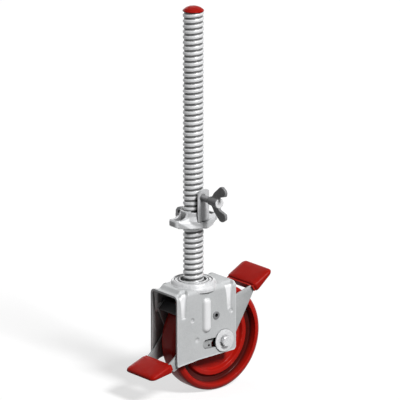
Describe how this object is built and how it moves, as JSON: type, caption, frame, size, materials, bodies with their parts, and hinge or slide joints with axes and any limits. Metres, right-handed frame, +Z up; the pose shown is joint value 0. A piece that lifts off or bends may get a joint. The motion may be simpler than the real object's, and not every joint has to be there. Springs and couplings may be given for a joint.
{
  "type": "scaffold castor",
  "caption": "Braked swivel castor with a load-centring lever, on a threaded levelling spindle with a clamped spindle nut that carries a scaffold tube.",
  "frame": {"origin": "on the spindle axis, in the plane of the seat on top of the spindle nut, where the scaffold tube stands", "axes": "+Z up the spindle; +X from the swivel axis towards the trailing axle and the upper pedal; the axle lies along Y, and the wing screw stands out along -Y"},
  "size_m": [0.2824, 0.1499, 0.727],
  "materials": {
    "galvanised_spindle": "hot-dip galvanised, bright",
    "galvanised_fork": "zinc plated, satin",
    "cast_nut": "galvanised casting",
    "plain_steel": "zinc plated, satin",
    "shoe_steel": "blackened",
    "red_plastic": "moulded, half gloss",
    "dark_plastic": "moulded, matt"
  },
  "bodies": {
    "saddle": {"spindle_nut": "cast_nut", "clamp_shell": "cast_nut"},
    "flange": {"swivel_flange": "plain_steel"},
    "spindle": {"threaded_spindle": "galvanised_spindle", "spindle_cap": "red_plastic"},
    "fork": {"fork": "galvanised_fork", "swivel_cup": "galvanised_fork", "swivel_balls": "plain_steel", "lever_rivets": "plain_steel"},
    "lever": {"lever_plate_near": "plain_steel", "lever_plate_far": "plain_steel", "brake_shoe": "shoe_steel", "upper_pedal_bar": "plain_steel", "lower_pedal_bar": "plain_steel", "upper_pedal_cap": "red_plastic", "lower_pedal_cap": "red_plastic"},
    "axle": {"axle_bolt": "plain_steel", "axle_nut": "plain_steel", "axle_washers": "plain_steel", "axle_bushes": "plain_steel", "axle_sleeve": "plain_steel"},
    "wheel": {"wheel": "red_plastic", "roller_cage": "dark_plastic", "bearing_rollers": "plain_steel", "hub_seals": "dark_plastic"},
    "stud": {"clamp_stud": "plain_steel"},
    "wing": {"wing_handle": "cast_nut"}
  },
  "joints": [
    {"name": "spindle_rise", "type": "slide", "parent": "saddle", "child": "flange", "axis": [0, 0, 1], "range_m": [-0.3651, 0.0951]},
    {"name": "spindle_turn", "type": "hinge", "parent": "flange", "child": "spindle", "pos_m": [0, 0, 0], "axis": [0, 0, 1], "range_deg": [-13140, 3420]},
    {"name": "swivel", "type": "hinge", "parent": "flange", "child": "fork", "pos_m": [0, 0, -0.136], "axis": [0, 0, 1], "continuous": true},
    {"name": "lever_swing", "type": "hinge", "parent": "fork", "child": "lever", "pos_m": [0.022, 0, -0.196], "axis": [0, 1, 0], "range_deg": [0, 25]},
    {"name": "axle_travel", "type": "slide", "parent": "fork", "child": "axle", "axis": [-1, 0, 0], "range_m": [0, 0.0401]},
    {"name": "wheel_spin", "type": "hinge", "parent": "axle", "child": "wheel", "pos_m": [0.04, 0, -0.247], "axis": [0, 1, 0], "continuous": true},
    {"name": "stud_travel", "type": "slide", "parent": "saddle", "child": "stud", "axis": [0, 1, 0], "range_m": [-0.0053, 0.00355]},
    {"name": "wing_turn", "type": "hinge", "parent": "stud", "child": "wing", "pos_m": [0, -0.06, 0.028], "axis": [0, 1, 0], "range_deg": [-1080, 720]}
  ],
  "couplings": [
    {"joint": "spindle_rise", "follows": "spindle_turn", "m_per_rad": 0.0015915},
    {"joint": "axle_travel", "follows": "lever_swing", "m_per_rad": 0.091673},
    {"joint": "stud_travel", "follows": "wing_turn", "m_per_rad": 0.00027852}
  ]
}
